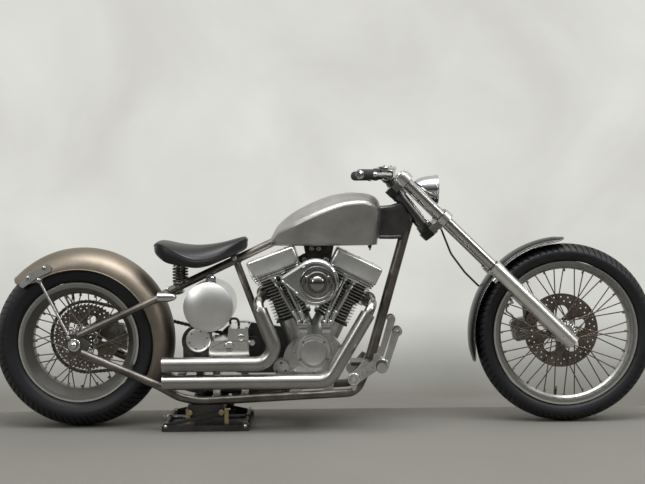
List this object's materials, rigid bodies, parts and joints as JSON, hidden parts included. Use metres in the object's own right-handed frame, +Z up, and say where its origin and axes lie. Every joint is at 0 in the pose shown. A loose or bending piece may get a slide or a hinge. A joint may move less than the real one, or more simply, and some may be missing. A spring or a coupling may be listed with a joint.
{
  "type": "chopper motorcycle",
  "caption": "Rigid-frame chopper with a V-twin engine, long raked fork, sprung solo seat and wire wheels, standing on a low scissor jack; wheels, steering and side stand move.",
  "frame": {"origin": "on the ground, under the middle of the overall length and width", "axes": "+X forward, +Y to the rider's left, +Z up"},
  "size_m": [2.5649, 0.77, 0.995],
  "materials": {
    "bare_steel": "bare ground steel tube",
    "raw_sheet": "bare sheet steel, lightly browned",
    "tank_steel": "bare sheet steel, sanded",
    "black_leather": "smooth black leather",
    "bright_chrome": "polished chrome",
    "polished_alloy": "polished aluminium",
    "fin_alloy": "satin cast aluminium",
    "black_paint": "satin black",
    "brushed_pipe": "brushed steel",
    "dark_chain": "oiled chain",
    "jack_paint": "galvanised lift steel",
    "black_rubber": "moulded rubber",
    "tyre_rubber": "tyre rubber",
    "wheel_steel": "dull plated steel"
  },
  "bodies": {
    "frame": {"neck": "bare_steel", "backbone": "bare_steel", "downtube": "bare_steel", "seat_post": "bare_steel", "right_rail": "bare_steel", "left_rail": "bare_steel", "upper_stays": "bare_steel", "rear_fender": "raw_sheet", "fender_struts": "polished_alloy", "fuel_tank": "tank_steel", "seat": "black_leather", "seat_springs": "bright_chrome", "oil_tank": "tank_steel", "battery_box": "polished_alloy", "crankcase": "polished_alloy", "cylinders": "fin_alloy", "rocker_boxes": "polished_alloy", "pushrod_tubes": "bright_chrome", "carburettor": "fin_alloy", "air_cleaner": "bright_chrome", "transmission": "polished_alloy", "primary_cover": "polished_alloy", "top_motor_mount": "black_paint", "upper_exhaust": "brushed_pipe", "lower_exhaust": "brushed_pipe", "drive_chain": "dark_chain", "foot_controls": "brushed_pipe", "rear_axle": "bright_chrome", "rear_caliper": "polished_alloy", "jack_base": "jack_paint", "jack_top": "jack_paint"},
    "steering": {"lower_tree": "black_paint", "top_tree": "black_paint", "fork_tubes": "bright_chrome", "fork_sliders": "polished_alloy", "front_axle": "bright_chrome", "front_fender": "raw_sheet", "headlight": "bright_chrome", "handlebar": "bright_chrome", "grips": "black_rubber", "hand_controls": "polished_alloy", "front_caliper": "polished_alloy", "brake_hose": "black_rubber"},
    "rear_wheel": {"rear_tyre": "tyre_rubber", "rear_rim": "polished_alloy", "rear_hub": "wheel_steel", "rear_sprocket": "brushed_pipe"},
    "front_wheel": {"front_tyre": "tyre_rubber", "front_rim": "polished_alloy", "front_hub": "wheel_steel", "front_disc": "brushed_pipe"},
    "side_stand": {"side_stand": "brushed_pipe"}
  },
  "joints": [
    {"name": "steering", "type": "hinge", "parent": "frame", "child": "steering", "pos_m": [0.3407, 0, 0.8285], "axis": [-0.6225, 0, 0.7826], "range_deg": [-30, 30]},
    {"name": "rear_wheel_spin", "type": "hinge", "parent": "frame", "child": "rear_wheel", "pos_m": [-0.9505, 0, 0.332], "axis": [0, 1, 0], "continuous": true},
    {"name": "front_wheel_spin", "type": "hinge", "parent": "steering", "child": "front_wheel", "pos_m": [0.9355, 0, 0.347], "axis": [0, 1, 0], "continuous": true},
    {"name": "side_stand_swing", "type": "hinge", "parent": "frame", "child": "side_stand", "pos_m": [-0.16, 0.16, 0.088], "axis": [0, -0.38, -0.925], "range_deg": [0, 84]}
  ]
}
